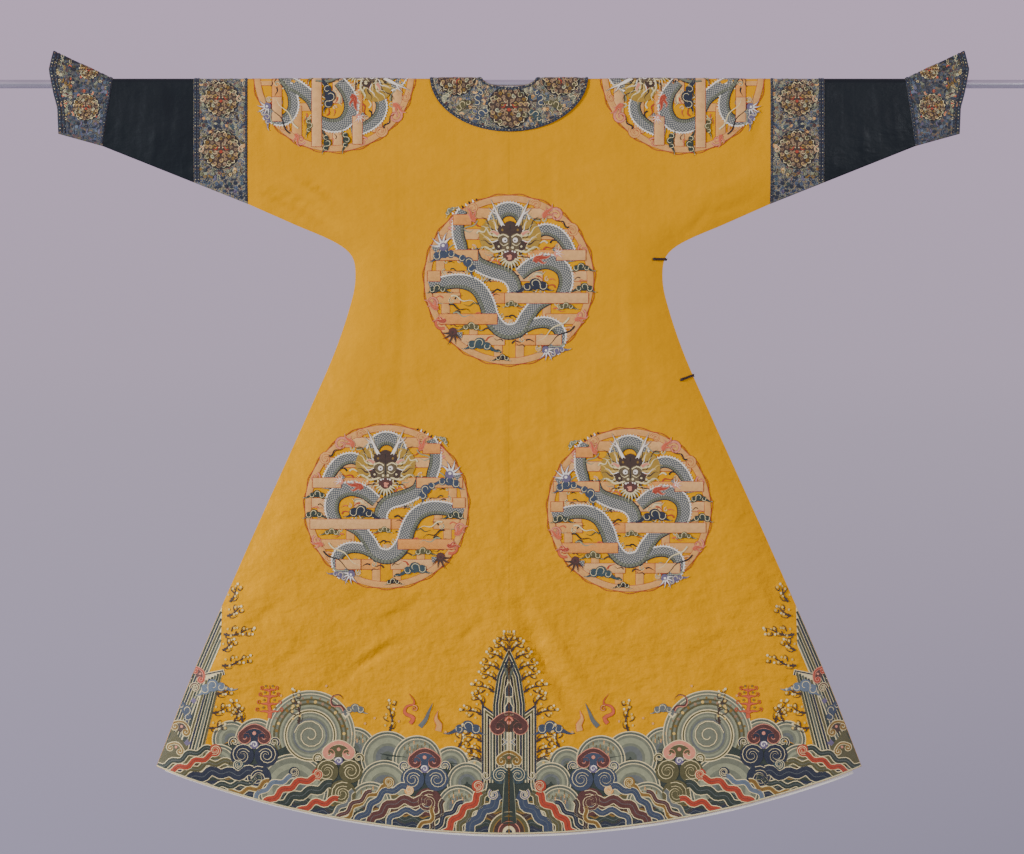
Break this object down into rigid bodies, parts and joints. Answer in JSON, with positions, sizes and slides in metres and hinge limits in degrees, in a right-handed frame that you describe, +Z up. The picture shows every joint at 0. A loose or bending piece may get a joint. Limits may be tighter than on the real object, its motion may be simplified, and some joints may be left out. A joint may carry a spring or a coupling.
{
  "type": "dragon robe on a hanging rod",
  "caption": "Full-length yellow silk robe with horseshoe cuffs and a side-closing front, hung flat by its sleeves on a slim metal rod.",
  "frame": {"origin": "centre of the rod, on its axis, at the robe's neck", "axes": "+X along the rod towards the wearer's right sleeve, +Y out of the robe's front, +Z up; the robe's back faces -Y"},
  "size_m": [2, 0.0454, 1.4643],
  "materials": {
    "rod_metal": "dull satin",
    "yellow_satin": "silk satin",
    "patterned_silk": "figured silk with coloured motifs",
    "dark_satin": "silk satin",
    "lining_silk": "plain silk",
    "loop_cord": "bias cord",
    "gilt_button": "polished gilt"
  },
  "bodies": {
    "root": {"rod": "rod_metal", "left_length": "yellow_satin", "right_length": "yellow_satin", "front_overlap": "yellow_satin", "collar_band": "patterned_silk", "overlap_band": "patterned_silk", "sleeve_band_left": "patterned_silk", "sleeve_band_right": "patterned_silk", "cuff_left": "patterned_silk", "cuff_right": "patterned_silk", "dark_sleeve_left": "dark_satin", "dark_sleeve_right": "dark_satin", "hem_lining": "lining_silk", "neck_loop": "loop_cord", "neck_button": "gilt_button", "chest_loop": "loop_cord", "chest_button": "gilt_button", "armpit_loop": "loop_cord", "armpit_button": "gilt_button", "side_loop": "loop_cord", "side_button": "gilt_button"}
  },
  "joints": []
}
